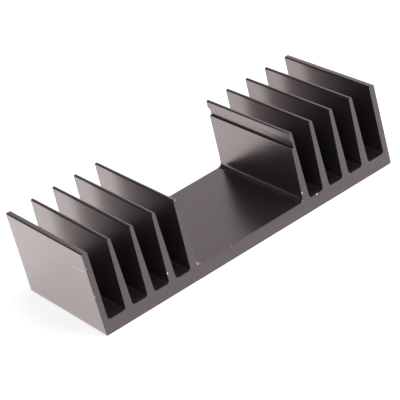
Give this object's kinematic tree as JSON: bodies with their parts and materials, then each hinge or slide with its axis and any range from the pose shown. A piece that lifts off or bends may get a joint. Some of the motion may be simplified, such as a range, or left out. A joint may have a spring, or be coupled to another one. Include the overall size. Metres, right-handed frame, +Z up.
{
  "type": "heat sink",
  "caption": "Black anodised extruded heat sink with tapered cooling fins either side of a wide device channel, and facing clip grooves near the fin tips.",
  "frame": {"origin": "middle of the flat mounting face underneath", "axes": "+Z up from the mounting face towards the fin tips, +X across the fins, +Y along the extrusion"},
  "size_m": [0.1, 0.0382, 0.0254],
  "materials": {
    "black_anodised": "satin black anodised"
  },
  "bodies": {
    "root": {"heat_sink": "black_anodised"}
  },
  "joints": []
}
